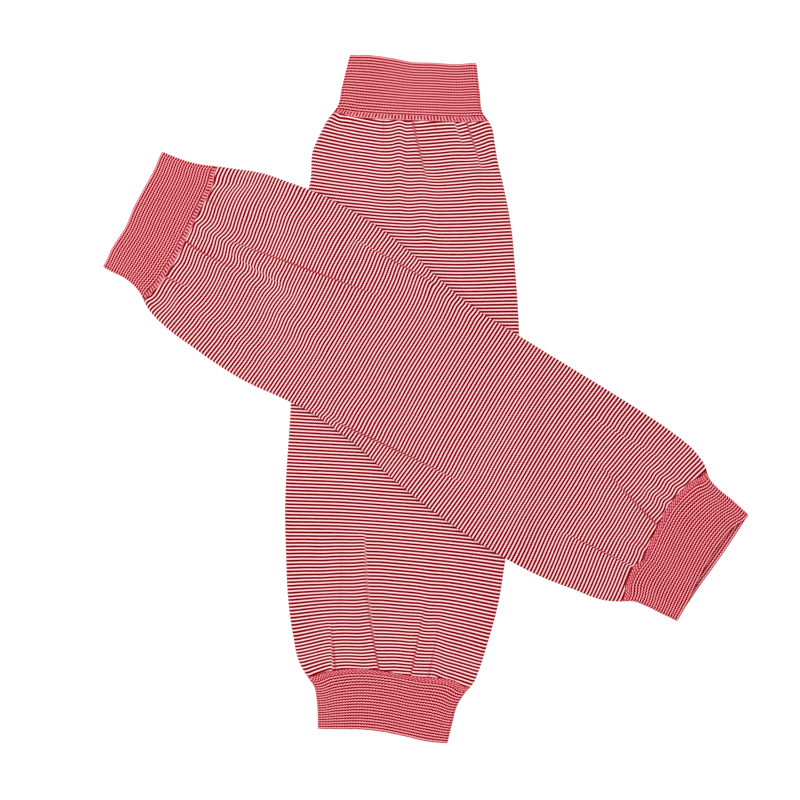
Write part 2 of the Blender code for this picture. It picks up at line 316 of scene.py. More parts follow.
@dataclass(frozen=True)
class Sleeve:
    """One arm sleeve laid flat: where it lies, its outline, seams, courses, folds and ripples."""

    name: str
    start: tuple[float, float]  # where it starts on the floor
    heading: float  # the way that it points, in degrees from the x axis
    outline: tuple[Station, ...]
    seams: tuple[Seam, ...]
    courses: tuple[Courses, ...]
    folds: tuple[Fold, ...]
    ripples: tuple[Ripple, ...]

    def middle_and_half(self, along: np.ndarray) -> tuple[np.ndarray, np.ndarray]:
        """Reads the outline.

        Args:
            along: the distances along the sleeve.

        Returns:
            Where the middle of the sleeve lies across, and half its width, at each of them.
        """
        stations = column(self.outline, "along")
        left = through(along, stations, column(self.outline, "left"))
        right = through(along, stations, column(self.outline, "right"))
        return (left + right) / 2, (right - left) / 2

    def directions(self) -> tuple[np.ndarray, np.ndarray]:
        """The sleeve's unit vectors along and across, on the floor."""
        turn = math.radians(self.heading)
        return np.array([math.cos(turn), math.sin(turn)]), np.array([-math.sin(turn), math.cos(turn)])

    def to_floor(self, along: np.ndarray, across: np.ndarray) -> tuple[np.ndarray, np.ndarray]:
        """The x and y on the floor of points of the sleeve's own frame."""
        d, n = self.directions()
        return self.start[0] + d[0] * along + n[0] * across, self.start[1] + d[1] * along + n[1] * across

    def from_floor(self, x: np.ndarray, y: np.ndarray) -> tuple[np.ndarray, np.ndarray]:
        """Turns places on the floor into the sleeve's own frame.

        Args:
            x: the places' x.
            y: the places' y.

        Returns:
            Their distances along and across.
        """
        d, n = self.directions()
        x, y = x - self.start[0], y - self.start[1]
        return d[0] * x + d[1] * y, n[0] * x + n[1] * y

    def past_edge(self, x: np.ndarray, y: np.ndarray) -> np.ndarray:
        """Measures from the sleeve's side edges.

        Args:
            x: the x of places on the floor.
            y: their y.

        Returns:
            How far outside the nearer edge each of them lies: negative inside.
        """
        along, across = self.from_floor(x, y)
        middle, half = self.middle_and_half(along)
        return np.abs(across - middle) - half

    def line(self, which: Line, share: np.ndarray, front: np.ndarray) -> np.ndarray:
        """Where a line lies along the sleeve.

        The front panel follows the table, and runs square to the side edges. The back one is straight at a
        seam and follows the table at a free edge.

        Args:
            which: the line.
            share: the share of the half width of each point round the tube.
            front: whether each point is on the front panel or the upper half of an edge.

        Returns:
            The distance along of each point.
        """
        turn = np.clip((np.abs(share) - SQUARE_FROM) / (1 - SQUARE_FROM), 0, 1)
        square = share + np.sign(share) * (1 - SQUARE_FROM) * turn**2 * (1 - turn)
        shares = column(self.seams, "share")
        above = column(self.seams, which.value)
        if which is Line.CUFF_START:
            below = through(square, shares, above)
        elif which is Line.CUFF_END:
            below = through(square, shares, column(self.seams, "back_end"))
        else:
            below = np.interp(share, [-1, 1], above[[0, -1]])
        return np.where(front, through(square, shares, above), below)

    def even_courses(self, along: np.ndarray, share: np.ndarray) -> np.ndarray:
        """Counts the courses of the body, ripples apart.

        Args:
            along: distance along the sleeve of each point.
            share: the share of the half width of each point.

        Returns:
            The number of stripes from the start of the sleeve to each point.
        """
        stations = column(self.courses, "along")
        places = ("left_edge", "left", "middle", "right", "right_edge")
        ahead = np.array([through(along, stations, column(self.courses, place)) for place in places])
        return (along + through(share, np.linspace(-1, 1, len(places)), ahead)) / STRIPE


@dataclass(frozen=True)
class CrossedPair:
    """Two sleeves, the upper one lying across the lower one."""

    lower: Sleeve
    upper: Sleeve

    def lift(self, sleeve: Sleeve, x: np.ndarray, y: np.ndarray) -> np.ndarray:
        """Steps the upper sleeve over the lower one.

        Args:
            sleeve: the sleeve that is lifted.
            x: the x of places on the floor.
            y: their y.

        Returns:
            How high its back panel lies at each of them.
        """
        if sleeve is self.lower:
            return np.zeros_like(x)
        level = 2 * BODY_WALL + INNER_GAP + LAP_CLEARANCE
        return level * (1 - ease((self.lower.past_edge(x, y) - LAP_MARGIN) / LAP_FALL))

    def freedom(self, sleeve: Sleeve, x: np.ndarray, y: np.ndarray) -> np.ndarray:
        """Presses the lower sleeve's folds flat beneath the upper one.

        Args:
            sleeve: the sleeve that is pressed.
            x: the x of places on the floor.
            y: their y.

        Returns:
            How free its folds are to rise: 0 where the other sleeve presses on it, else 1.
        """
        if sleeve is self.upper:
            return np.ones_like(x)
        return ease((self.upper.past_edge(x, y) - PRESSED_MARGIN) / PRESSED_FADE)


@dataclass(frozen=True)
class Section:
    """The points round a flattened tube, from the foot of its left edge over the front and back beneath.

    front and back are the numbers of steps across each panel, and edge those round each side edge.
    """

    front: int
    back: int
    edge: int = 6

    def steps(self) -> int:
        """The number of steps all the way round."""
        return self.front + self.back + 2 * self.edge

    def share(self) -> np.ndarray:
        """Places the points across.

        Returns:
            The share of the half width of each point, from -1, left, to 1, right.
        """
        over = np.linspace(-1, 1, self.front + 1)
        under = np.linspace(1, -1, self.back + 1)
        edge = np.ones(self.edge - 1)
        return np.concatenate([[-1], -edge, over, edge, under])

    def turn(self) -> np.ndarray:
        """Turns the surface round the side edges.

        Returns:
            Its angle at each point: -90 degrees below, 0 at an edge's outermost point and 90 above.
        """
        quarter = math.pi / 2
        rise = np.linspace(-quarter, quarter, self.edge + 1)
        over = np.full(self.front, quarter)
        under = np.full(self.back, -quarter)
        return np.concatenate([rise[:-1], over, rise[::-1], under])

    def wales(self, panel: float, edge: float) -> np.ndarray:
        """Counts the wales round the tube.

        Args:
            panel: wales across a panel.
            edge: wales round a side edge.

        Returns:
            The number of wales from the first point to each point.
        """
        runs = ((self.edge, edge), (self.front, panel), (self.edge, edge), (self.back, panel))
        steps = np.concatenate([np.full(count, wales / count) for count, wales in runs])
        return np.concatenate([[0.0], np.cumsum(steps)])


@dataclass(frozen=True)
class KnittedTube:
    """One knitted piece of a sleeve: a flattened tube with a wall, open at both ends.

    rows is the number of steps along it, of which the first and the last are narrow. wales is the number of
    wales across its front panel, edge_wales that round a side edge, and course_count the number of its
    courses, or 0 where they are counted along the whole sleeve. folds is the share of the folds' height that
    it carries at its first line, inside, and at its last line.
    """

    part: str
    slot: Slot
    first: Line
    last: Line
    section: Section
    rows: int
    wall: float
    wales: int
    edge_wales: int
    course_count: int = 0
    rib_rise: float = 0.0
    folds: tuple[float, float, float] = (0.0, 0.0, 0.0)

    def fold_share(self, start: np.ndarray, along: np.ndarray, end: np.ndarray) -> np.ndarray:
        """Holds the folds down at the seams.

        Args:
            start: where the piece's first line lies along the sleeve at each point.
            along: each point's own distance along.
            end: where the piece's last line lies.

        Returns:
            The share of the folds' height at each point.
        """
        first, inside, last = self.folds
        held = first + (last - first) * (along - start) / (end - start)
        return held + (inside - held) * ease(np.minimum(along - start, end - along) / HELD_REACH)

    def place(self, pair: CrossedPair, sleeve: Sleeve) -> tuple[np.ndarray, np.ndarray, np.ndarray]:
        """Works out the outer surface, ring by ring.

        Args:
            pair: the two sleeves.
            sleeve: the sleeve that the piece belongs to.

        Returns:
            The points' places in mm, their wales and courses, and how far creases and ends hide the pale yarn
            and paint shade.
        """
        count = self.section.steps() + 1
        share = np.tile(self.section.share(), self.rows + 1)
        turn = np.tile(self.section.turn(), self.rows + 1)
        front = turn > 0
        ring = np.repeat(np.arange(self.rows + 1), count)
        start = sleeve.line(self.first, share, front) + SEAM_GAP / 2
        end = sleeve.line(self.last, share, front) - SEAM_GAP / 2
        # Each end ring counts as a full crease: its pale yarn hidden and its red darkened by painted shade.
        at_end = (ring == 0) | (ring == self.rows)
        narrow = END_RING / (end - start)
        run = narrow + (1 - 2 * narrow) * (ring - 1) / (self.rows - 2)
        run = np.where(at_end, ring / self.rows, run)
        along = start + run * (end - start)
        thickness = 2 * self.wall + INNER_GAP
        middle, half = sleeve.middle_and_half(along)
        edge = np.sign(share) * np.cos(turn) * thickness / 2
        across = middle + share * (half - thickness / 2) + edge
        x, y = sleeve.to_floor(along, across)

        top = np.clip(np.sin(turn), 0, 1)
        flat = top * (1 - ease((np.abs(share) - FLAT_EDGE) / (1 - FLAT_EDGE)))
        flat = flat * pair.freedom(sleeve, x, y)
        rise = sum(fold.rise(along, across) for fold in sleeve.folds)
        wales = np.tile(self.section.wales(self.wales, self.edge_wales), self.rows + 1)
        rib = self.rib_rise * (0.5 - 0.5 * np.cos(2 * math.pi * wales)) * top
        z = pair.lift(sleeve, x, y) + thickness / 2 * (1 + np.sin(turn))
        z = z + rise * flat * self.fold_share(start, along, end) + rib

        shift = sum(ripple.shift(along, across) for ripple in sleeve.ripples) * flat
        if self.course_count:
            courses = run * self.course_count
        else:
            courses = sleeve.even_courses(along, share) + shift / STRIPE
        # A crease hides the pale yarn where the fold laps it, and darkens the red with painted shade.
        tuck_and_shade = sum(fold.tuck_and_shade(along, across) for fold in sleeve.folds) * flat * (self.slot is Slot.STRIPED)
        return np.stack([x, y, z], 1), np.stack([wales, courses], 1), np.clip(tuck_and_shade + at_end, 0, 1)

    def build(self, pair: CrossedPair, sleeve: Sleeve) -> bpy.types.Object:
        """Makes the piece's mesh: a grid wrapped round the tube, welded at the back and given its wall.

        Args:
            pair: the two sleeves.
            sleeve: the sleeve that the piece belongs to.

        Returns:
            The finished object, with its knit map and its crease attribute, which carries the painted shade
            too.
        """
        name = f"{sleeve.name}_{self.part}_cloth"
        mesh = bmesh.new()
        bmesh.ops.create_grid(mesh, x_segments=self.section.steps(), y_segments=self.rows, size=0.5)
        places, knit, tuck_and_shade = self.place(pair, sleeve)
        knit_map = mesh.loops.layers.uv.new(KNIT_MAP)
        crease = mesh.verts.layers.float.new(CREASE_TUCK_AND_SHADE)
        for vert, place, tucked_and_shaded in zip(mesh.verts, (places * MM).tolist(), tuck_and_shade.tolist()):
            vert.co = place
            vert[crease] = tucked_and_shaded
            for loop in vert.link_loops:
                loop[knit_map].uv = knit[vert.index]
        bmesh.ops.remove_doubles(mesh, verts=mesh.verts, dist=1e-7)
        bmesh.ops.recalc_face_normals(mesh, faces=mesh.faces)
        data = bpy.data.meshes.new(name)
        mesh.to_mesh(data)
        mesh.free()
        data.shade_smooth()
        piece = bpy.data.objects.new(name, data)
        bpy.context.scene.collection.objects.link(piece)
        wall = piece.modifiers.new("wall", "SOLIDIFY")
        wall.thickness = self.wall * MM
        wall.offset = -1.0
        wall.use_quality_normals = True
        return piece


class Wiring:
    """Adds nodes to a shader's or a group's tree and joins them up."""

    def __init__(self, tree: bpy.types.NodeTree) -> None:
        """Keeps the tree that the nodes go into."""
        self.tree = tree

    def node(self, kind: str, inputs: dict | None = None, **settings: object) -> bpy.types.Node:
        """Adds one node.

        Args:
            kind: the node's type.
            inputs: a value or another node's output for each named or numbered input.
            settings: the node's own properties.

        Returns:
            The new node.
        """
        made = self.tree.nodes.new(kind)
        for name, value in settings.items():
            setattr(made, name, value)
        for name, value in (inputs or {}).items():
            if isinstance(value, Socket):
                self.tree.links.new(value, made.inputs[name])
            else:
                made.inputs[name].default_value = value
        return made

    def math(self, operation: str, *values: object) -> Socket:
        """The result of a Math node on numbers or sockets."""
        return self.node("ShaderNodeMath", dict(enumerate(values)), operation=operation).outputs[0]

    def mix(self, share: object, first: object, second: object) -> Socket:
        """A colour that goes from the first to the second as share goes from 0 to 1."""
        made = self.node("ShaderNodeMix", {0: share, 6: first, 7: second}, data_type="RGBA")
        return made.outputs[2]

    def between(self, value: object, low: float, high: float, top: float = 1.0) -> Socket:
        """A value taken smoothly from low and high to 0 and top."""
        ends = {0: value, 1: low, 2: high, 3: 0.0, 4: top}
        return self.node("ShaderNodeMapRange", ends, interpolation_type="SMOOTHSTEP").outputs[0]

    def noise(self, place: Socket, scale: float, detail: float) -> bpy.types.NodeOutputs:
        """The outputs of a noise over the piece: a value and a colour."""
        return self.node("ShaderNodeTexNoise", {"Vector": place, "Scale": scale, "Detail": detail}).outputs

    def wave(self, value: object, centre: float = 0.0) -> Socket:
        """A cosine that is 1 where value is a whole number past centre, and 0 halfway between."""
        turn = self.math("MULTIPLY", self.math("SUBTRACT", value, centre), 2 * math.pi)
        return self.math("MULTIPLY_ADD", self.math("COSINE", turn), 0.5, 0.5)

    def group(self, tree: bpy.types.NodeTree, **inputs: object) -> bpy.types.NodeOutputs:
        """The outputs of a shared group, placed with its own values."""
        return self.node("ShaderNodeGroup", inputs, node_tree=tree).outputs


def new_group(
    name: str, inputs: dict[str, float], outputs: tuple[str, ...]
) -> tuple[Wiring, bpy.types.Node, bpy.types.Node]:
    """Starts a shader node group.

    Args:
        name: the group's name.
        inputs: its number inputs and their defaults.
        outputs: its number outputs.

    Returns:
        Its wiring, its input node and its output node.
    """
    tree = bpy.data.node_groups.new(name, "ShaderNodeTree")
    for socket, default in inputs.items():
        made = tree.interface.new_socket(socket, in_out="INPUT", socket_type="NodeSocketFloat")
        made.default_value = default
    for socket in outputs:
        tree.interface.new_socket(socket, in_out="OUTPUT", socket_type="NodeSocketFloat")
    wiring = Wiring(tree)
    return wiring, wiring.node("NodeGroupInput"), wiring.node("NodeGroupOutput")


def knit_coordinates_group() -> bpy.types.NodeTree:
    """Reads the knit map, with the small unevenness of real stitches.

    Returns:
        A group that puts out the wale and course counts.
    """
    inputs = {"Wobble": 0.05, "Serration": 0.1}
    wiring, given, result = new_group("knit_coordinates", inputs, ("Wales", "Courses"))
    place = wiring.node("ShaderNodeUVMap", uv_map=KNIT_MAP).outputs[0]
    noise = wiring.noise(place, UNEVENNESS, 2.0)["Color"]
    uneven = wiring.node("ShaderNodeSeparateColor", {0: noise}).outputs
    wobble = [
        wiring.math("MULTIPLY", wiring.math("SUBTRACT", channel, 0.5), given.outputs["Wobble"])
        for channel in uneven[:2]
    ]
    counts = wiring.node("ShaderNodeSeparateXYZ", {0: place}).outputs
    wales = wiring.math("ADD", counts[0], wobble[0])
    arch = wiring.math("SUBTRACT", wiring.wave(wales), 0.5)
    arch = wiring.math("MULTIPLY", arch, given.outputs["Serration"])
    courses = wiring.math("ADD", wiring.math("ADD", counts[1], wobble[1]), arch)
    wiring.tree.links.new(wales, result.inputs["Wales"])
    wiring.tree.links.new(courses, result.inputs["Courses"])
    return wiring.tree


def stitch_relief_group() -> bpy.types.NodeTree:
    """The rise and fall of knit stitches: a ridge for each course, with a furrow between wales.

    Returns:
        A group from wale and course counts to a height from 0 to 1.
    """
    inputs = {"Wales": 0.0, "Courses": 0.0, "Furrow": 0.5}
    wiring, given, result = new_group("stitch_relief", inputs, ("Height",))
    ridge = wiring.wave(given.outputs["Courses"])
    furrow = wiring.math("POWER", wiring.wave(given.outputs["Wales"]), FURROW_POWER)
    furrow = wiring.math("MULTIPLY", furrow, given.outputs["Furrow"])
    height = wiring.math("SUBTRACT", wiring.math("SQRT", ridge), furrow)
    wiring.tree.links.new(height, result.inputs["Height"])
    return wiring.tree


def yarn_variation_group() -> bpy.types.NodeTree:
    """The slight patchiness of dyed cotton.

    Returns:
        A group that puts out a brightness about 1.
    """
    wiring, given, result = new_group("yarn_variation", {"Amount": 0.05, "Fleck": 0.05}, ("Brightness",))
    place = wiring.node("ShaderNodeTexCoord").outputs["Object"]
    patches = wiring.noise(place, DYE_PATCHES, 3.0)[0]
    flecks = wiring.noise(place, FIBRE_FLECKS, 1.0)[0]
    patchy = wiring.math("MULTIPLY", wiring.math("SUBTRACT", patches, 0.5), given.outputs["Amount"])
    flecked = wiring.math("MULTIPLY", wiring.math("SUBTRACT", flecks, 0.5), given.outputs["Fleck"])
    total = wiring.math("MULTIPLY_ADD", patchy, 2.0, 1.0)
    total = wiring.math("ADD", total, wiring.math("MULTIPLY", flecked, 2.0))
    wiring.tree.links.new(total, result.inputs["Brightness"])
    return wiring.tree


@dataclass(frozen=True)
class KnitFinish:
    """A knitted cloth: the tones of its two yarns and of a painted shade, where they show, and the constants
    of its surface.

    The third tone is painted shade: the red yarn darkened where it sinks between courses or into a furrow.
    The pale yarn comes in as the cloth's pattern goes from the first value of pale_shows to the second, and
    the painted shade over the two values given after them, up to the share given last.
    wobble is how uneven the stitches are, and serration how far they push a course up and down, as a share of
    a stitch. ridges is the number of raised rows for each course counted, relief their height in mm, and
    furrows the depth of the furrows between wales as a share of it.
    """

    name: str
    pale: tuple[float, float, float]
    red: tuple[float, float, float]
    deep: tuple[float, float, float]
    pale_shows: tuple[float, float]
    deep_shows: tuple[float, float]
    deepest: float = 1.0
    wobble: float = 0.10
    serration: float = 0.10
    furrows: float = 0.5
    ridges: float = 1.0
    relief: float = 0.08
    variation: float = 0.05
    roughness: float = 0.85
    sheen: float = 0.02
    sheen_roughness: float = 0.5
    shine: float = 0.02

    def pattern(self, wiring: Wiring, wales: Socket, courses: Socket) -> Socket:
        """A value from 0 to 1 that the yarns' tones follow; each kind of cloth has its own."""
        raise NotImplementedError

    def material(self, groups: dict[str, bpy.types.NodeTree]) -> bpy.types.Material:
        """Makes the cloth's material.

        Args:
            groups: the shared node groups by name.

        Returns:
            The material.
        """
        material = bpy.data.materials.new(self.name)
        material.use_nodes = True
        wiring = Wiring(material.node_tree)
        shader = material.node_tree.nodes["Principled BSDF"]
        knit = wiring.group(groups["knit_coordinates"], Wobble=self.wobble, Serration=self.serration)
        wales, courses = knit["Wales"], knit["Courses"]
        tuck_and_shade = wiring.node("ShaderNodeAttribute", attribute_name=CREASE_TUCK_AND_SHADE).outputs["Fac"]
        pattern = self.pattern(wiring, wales, courses)
        pale = wiring.between(pattern, *self.pale_shows)
        # painted shade: the red yarn darkened where it sinks between courses or into a furrow
        deep = wiring.between(pattern, *self.deep_shows, self.deepest)
        # At a crease or an end the pale yarn is hidden and the red takes painted shade.
        pale = wiring.math("MULTIPLY", pale, wiring.math("MULTIPLY_ADD", tuck_and_shade, -CREASE_HIDES, 1.0))
        deep = wiring.math("MULTIPLY_ADD", tuck_and_shade, wiring.math("SUBTRACT", CREASE_SHADE, deep), deep)
        colour = wiring.mix(pale, (*self.red, 1.0), (*self.pale, 1.0))
        colour = wiring.mix(deep, colour, (*self.deep, 1.0))
        bright = wiring.group(groups["yarn_variation"], Amount=self.variation)["Brightness"]
        tint = wiring.node("ShaderNodeCombineColor", {0: bright, 1: bright, 2: bright}).outputs[0]
        factors = {0: 1.0, 6: colour, 7: tint}
        varied = wiring.node("ShaderNodeMix", factors, data_type="RGBA", blend_type="MULTIPLY")
        wiring.tree.links.new(varied.outputs[2], shader.inputs["Base Color"])
        ridges = wiring.math("MULTIPLY", courses, self.ridges)
        relief = wiring.group(groups["stitch_relief"], Wales=wales, Courses=ridges, Furrow=self.furrows)
        raised = {"Height": relief["Height"], "Strength": 1.0, "Distance": self.relief * MM}
        bump = wiring.node("ShaderNodeBump", raised)
        wiring.tree.links.new(bump.outputs[0], shader.inputs["Normal"])
        shader.inputs["Roughness"].default_value = self.roughness
        shader.inputs["Sheen Weight"].default_value = self.sheen
        shader.inputs["Sheen Roughness"].default_value = self.sheen_roughness
        shader.inputs["Specular IOR Level"].default_value = self.shine
        return material


@dataclass(frozen=True)
class StripedKnit(KnitFinish):
    """Plain knit in even red and white courses."""

    def pattern(self, wiring: Wiring, wales: Socket, courses: Socket) -> Socket:
        """1 in the middle of a white course, and 0 in the middle of the red one beside it, where shade is
        painted.
        """
        return wiring.wave(courses, FIRST_WHITE)


@dataclass(frozen=True)
class RibbedKnit(KnitFinish):
    """One by one rib, whose pale courses are strongest on the raised wales.

    first_pale is where the first pale course lies in a furrow, arch how far back it lies on a rib, and
    in_furrow how strong it is in a furrow. The first two are in courses.
    """

    first_pale: float = 0.57
    arch: float = 0.24
    in_furrow: float = 0.85

    def pattern(self, wiring: Wiring, wales: Socket, courses: Socket) -> Socket:
        """Makes pale courses that ripple over the ribs.

        Args:
            wiring: the material's wiring.
            wales: the wale count.
            courses: the course count.

        Returns:
            1 in the middle of a pale course on a rib, and 0 in the middle of a red one.
        """
        raised = wiring.wave(wales, 0.5)
        white = wiring.wave(wiring.math("MULTIPLY_ADD", raised, self.arch, courses), self.first_pale)
        strength = wiring.math("MULTIPLY_ADD", raised, 1 - self.in_furrow, self.in_furrow)
        return wiring.math("MULTIPLY", white, strength)


@dataclass(frozen=True)
class LadderKnit(KnitFinish):
    """A pale band with a short upright bar of red yarn in each furrow, darkened towards its middle by painted
    shade.

    A bar begins and is full at the two values of sides, from a raised wale, 0, to a furrow, 1, and at those
    of ends, from the band's edges, 0, to its middle, 1.
    """

    sides: tuple[float, float] = (0.2, 0.7)
    ends: tuple[float, float] = (0.05, 0.4)

    def pattern(self, wiring: Wiring, wales: Socket, courses: Socket) -> Socket:
        """Makes one bar in each furrow.

        Args:
            wiring: the material's wiring.
            wales: the wale count.
            courses: the course count, of two courses.

        Returns:
            1 in the middle of a bar, and 0 on the raised wales and along both edges of the band.
        """
        furrow = wiring.wave(wales)
        inside = wiring.wave(wiring.math("MULTIPLY", courses, 0.5), 0.5)
        wide = wiring.between(furrow, *self.sides)
        return wiring.math("MULTIPLY", wide, wiring.between(inside, *self.ends))


@dataclass(frozen=True)
class DenseKnit(KnitFinish):
    """A close band of red stitches, with rows of slanting flecks.

    slant is how many wales a fleck leans over in one course, and between_rows how strong it is between two.
    """

    slant: float = 0.7
    between_rows: float = 0.4

    def pattern(self, wiring: Wiring, wales: Socket, courses: Socket) -> Socket:
        """Makes a slanting fleck on each wale of each course.

        Args:
            wiring: the material's wiring.
            wales: the wale count.
            courses: the course count.

        Returns:
            1 in the middle of a pale fleck, and 0 in the stitch beside it, where shade is painted.
        """
        fleck = wiring.wave(wiring.math("MULTIPLY_ADD", courses, self.slant, wales))
        row = wiring.wave(courses, 0.5)
        strength = wiring.math("MULTIPLY_ADD", row, 1 - self.between_rows, self.between_rows)
        return wiring.math("MULTIPLY", fleck, strength)


@dataclass(frozen=True)
class ArmSleeves:
    """The pair of arm sleeves: ten knitted pieces and their four kinds of cloth."""

    pair: CrossedPair
    tubes: tuple[KnittedTube, ...]
    finishes: dict[Slot, KnitFinish]

    def build(self) -> None:
        """Builds every piece, dresses it and hides the part of the model that it stands in for."""
        trees = (knit_coordinates_group(), stitch_relief_group(), yarn_variation_group())
        groups = {tree.name: tree for tree in trees}
        materials = {slot: finish.material(groups) for slot, finish in self.finishes.items()}
        for sleeve in (self.pair.lower, self.pair.upper):
            for tube in self.tubes:
                piece = tube.build(self.pair, sleeve)
                piece.data.materials.append(materials[tube.slot])
                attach(piece, "root")
                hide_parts(f"{NODE_SLEEVES[sleeve.name]}_{tube.part}")
                LOG.info("%s: %d faces", piece.name, len(piece.data.polygons))
            self.declare_cut(sleeve)

    def declare_cut(self, sleeve: Sleeve) -> None:
        """Works out where each of a sleeve's cuffs and its body begins and ends along its middle, and its
        half widths between; nothing is done with them.

        Args:
            sleeve: the sleeve.
        """
        for tube in self.tubes:
            if tube.part.endswith("band"):
                continue
            middle, front = np.array([0.0]), np.array([True])
            ends = [sleeve.line(line, middle, front)[0] for line in (tube.first, tube.last)]
            _, half = sleeve.middle_and_half(np.linspace(*ends, WIDTHS_TAKEN))


@dataclass(frozen=True)
class Studio:
    """A plain pale floor, soft even light and a camera straight above."""

    centre: tuple[float, float] = (-16.3, -0.6)  # of what the camera sees, in mm
    seen: float = 505.9  # width of what the camera sees, in mm
    height: float = 1.603  # of the camera above the floor; these and the next are in metres
    above: float = 1.6  # of the camera above the cloth
    sensor: float = 36.0  # in mm
    floor_size: float = 4.0
    floor_drop: float = 0.0002  # below the cloth, so that the two don't touch
    floor_tone: tuple[float, float, float, float] = (0.25, 0.25, 0.25, 1.0)
    floor_glow: float = 0.9  # keeps the floor white
    floor_roughness: float = 0.9
    surround: float = 0.92
    lamp_size: float = 1.2
    lamp_power: float = 13.2  # in watts
    lamp_place: tuple[float, float, float] = (-0.9, 0.9, 1.5)
    lamp_tilt: float = 40.3  # in degrees, as the next is
    lamp_turn: float = 45.0

    def floor(self) -> None:
        """Lays the floor just under the cloth."""
        mesh = bmesh.new()
        bmesh.ops.create_grid(mesh, x_segments=1, y_segments=1, size=self.floor_size / 2)
        bmesh.ops.translate(mesh, vec=(0.0, 0.0, -self.floor_drop), verts=mesh.verts)
        data = bpy.data.meshes.new("floor")
        mesh.to_mesh(data)
        mesh.free()
        material = bpy.data.materials.new("pale_floor")
        material.use_nodes = True
        shader = material.node_tree.nodes["Principled BSDF"]
        shader.inputs["Base Color"].default_value = self.floor_tone
        shader.inputs["Roughness"].default_value = self.floor_roughness
        shader.inputs["Specular IOR Level"].default_value = 0.0
        shader.inputs["Emission Color"].default_value = WHITE
        shader.inputs["Emission Strength"].default_value = self.floor_glow
        data.materials.append(material)
        floor = bpy.data.objects.new("floor", data)
        bpy.context.scene.collection.objects.link(floor)

    def lights(self) -> None:
        """Sets an even white surround and one broad soft light from the upper left."""
        world = bpy.data.worlds.new("surround")
        world.use_nodes = True
        background = world.node_tree.nodes["Background"]
        background.inputs["Color"].default_value = WHITE
        background.inputs["Strength"].default_value = self.surround
        bpy.context.scene.world = world
        light = bpy.data.lights.new("soft_light", "AREA")
        light.shape = "DISK"
        light.size = self.lamp_size
        light.energy = self.lamp_power
        lamp = bpy.data.objects.new("soft_light", light)
        lamp.location = self.lamp_place
        lamp.rotation_euler = (math.radians(-self.lamp_tilt), 0.0, math.radians(self.lamp_turn))
        bpy.context.scene.collection.objects.link(lamp)

    def camera(self) -> None:
        """Hangs the camera straight above the middle of the view."""
        lens = bpy.data.cameras.new("camera")
        lens.sensor_width = self.sensor
        lens.lens = self.sensor * self.above / (self.seen * MM)
        eye = bpy.data.objects.new("camera", lens)
        eye.location = (self.centre[0] * MM, self.centre[1] * MM, self.height)
        bpy.context.scene.collection.objects.link(eye)
        bpy.context.scene.camera = eye

    def build(self) -> None:
        """Sets up the floor, the light, the camera and the way that colours are shown."""
        self.floor()
        self.lights()
        self.camera()
        bpy.context.scene.view_settings.view_transform = "Standard"


LOWER_OUTLINE = (
    Station(-2.0, -40.0, 40.0),
    Station(19.0, -44.3, 43.3),
    Station(31.6, -46.8, 45.8),
    Station(37.9, -51.2, 50.6),
    Station(50.6, -57.5, 54.1),
    Station(60.1, -61.0, 56.0),
    Station(75.9, -61.4, 60.4),
    Station(101.2, -65.4, 66.4),
    Station(132.8, -67.3, 70.7),
    Station(170.7, -68.3, 74.6),
    Station(221.3, -68.1, 76.0),
    Station(290.9, -68.7, 73.9),
    Station(316.2, -67.0, 71.6),
    Station(341.5, -64.8, 68.6),
    Station(366.8, -60.4, 62.9),
    Station(385.8, -54.7, 57.6),
    Station(392.1, -50.6, 55.2),
    Station(398.4, -45.8, 50.3),
    Station(406.0, -43.9, 45.8),
    Station(417.4, -42.6, 43.0),
    Station(432.0, -42.2, 40.0),
)
UPPER_OUTLINE = (
    Station(-4.5, -40.6, 41.0),
    Station(6.3, -40.8, 42.7),
    Station(19.0, -39.9, 46.2),
    Station(31.6, -43.3, 51.9),
    Station(37.9, -47.4, 54.7),
    Station(56.9, -52.8, 62.6),
    Station(75.9, -54.4, 66.7),
    Station(98.0, -55.7, 70.5),
    Station(118.9, -55.3, 71.8),
    Station(139.8, -52.5, 71.7),
    Station(161.9, -50.4, 68.9),
    Station(183.4, -51.5, 64.8),
    Station(204.3, -54.0, 61.3),
    Station(222.6, -58.0, 59.8),
    Station(244.7, -61.3, 59.8),
    Station(316.2, -64.5, 60.1),
    Station(341.5, -62.6, 59.8),
    Station(360.5, -59.1, 59.1),
    Station(385.8, -53.1, 54.8),
    Station(392.1, -49.6, 51.9),
    Station(398.4, -45.5, 46.6),
    Station(406.0, -43.9, 44.0),
    Station(417.4, -42.7, 42.4),
    Station(432.5, -41.2, 39.6),
)

